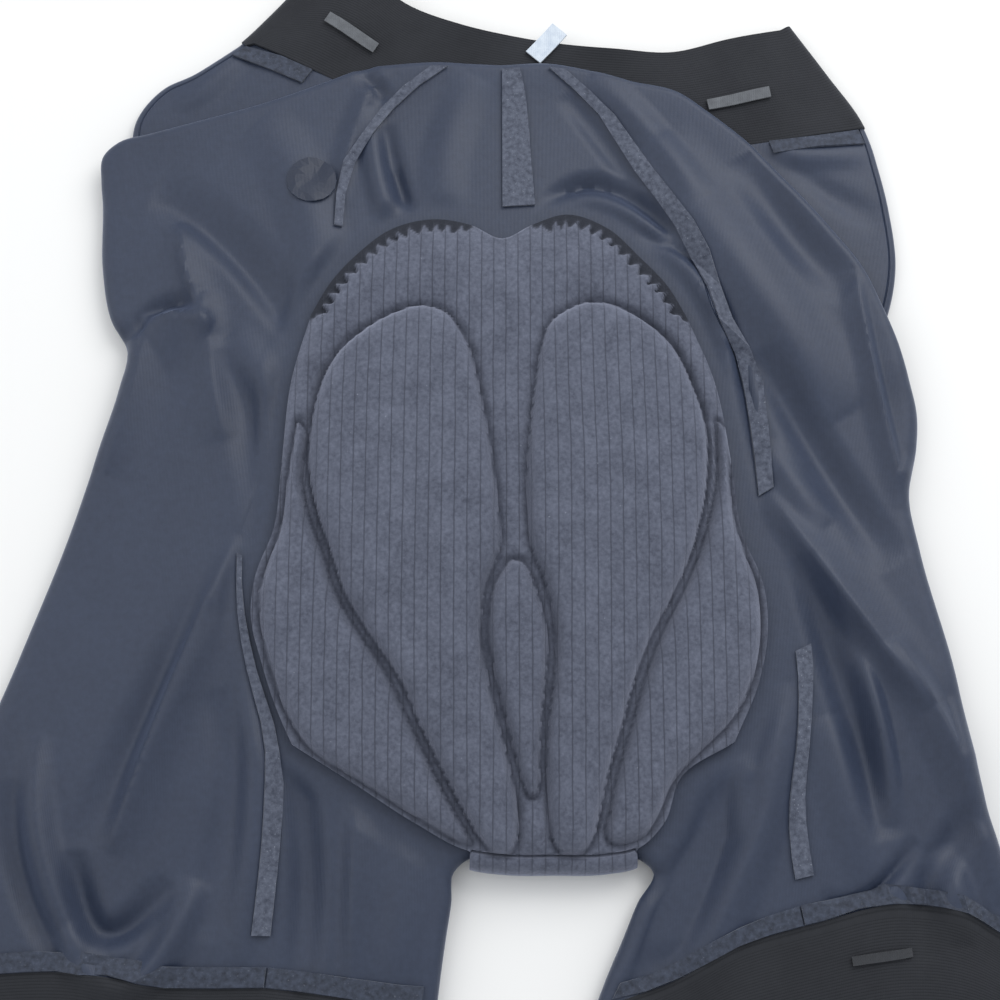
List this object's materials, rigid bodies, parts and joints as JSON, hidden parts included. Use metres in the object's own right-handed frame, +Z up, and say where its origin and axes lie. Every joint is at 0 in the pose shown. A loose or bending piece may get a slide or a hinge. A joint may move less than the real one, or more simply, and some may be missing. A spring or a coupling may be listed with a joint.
{
  "type": "cycling shorts",
  "caption": "Cycling shorts turned inside out and laid flat with the padded seat up, elastic waistband and leg grippers, overlocked seams.",
  "frame": {"origin": "middle of the laid garment's outline on the surface it lies on", "axes": "+Z up from the surface, +Y towards the waistband, +X to the right of the view with the seat up"},
  "size_m": [0.4158, 0.4794, 0.0283],
  "materials": {
    "navy_knit": "satin stretch knit, wrong side out",
    "elastic": "matte woven elastic",
    "pad_cloth": "brushed ribbed pad cloth over foam",
    "seam_thread": "overlocked edges and flat seams",
    "tab": "satin tape",
    "label_cloth": "smooth woven label, blank"
  },
  "bodies": {
    "root": {"back_left": "navy_knit", "back_right": "navy_knit", "care_label": "label_cloth", "front_left": "navy_knit", "front_right": "navy_knit", "grip_left": "elastic", "grip_right": "elastic", "grip_tab": "tab", "inner_leg_left": "navy_knit", "inner_leg_right": "navy_knit", "pad_base": "pad_cloth", "pad_keel": "pad_cloth", "pad_label": "pad_cloth", "pad_lobe_left": "pad_cloth", "pad_lobe_right": "pad_cloth", "pad_wing_left": "pad_cloth", "pad_wing_right": "pad_cloth", "round_patch": "navy_knit", "seam_centre_back": "seam_thread", "seam_grip_left_inner": "seam_thread", "seam_grip_left_outer": "seam_thread", "seam_grip_right_inner": "seam_thread", "seam_grip_right_outer": "seam_thread", "seam_left_lower": "seam_thread", "seam_left_upper": "seam_thread", "seam_right_lower": "seam_thread", "seam_right_upper": "seam_thread", "seam_waist_left": "seam_thread", "seam_waist_right": "seam_thread", "side_left": "navy_knit", "side_right": "navy_knit", "tucked_fold": "navy_knit", "upper_left": "navy_knit", "upper_right": "navy_knit", "waist_tab_left": "tab", "waist_tab_right": "tab", "waistband": "elastic"}
  },
  "joints": []
}
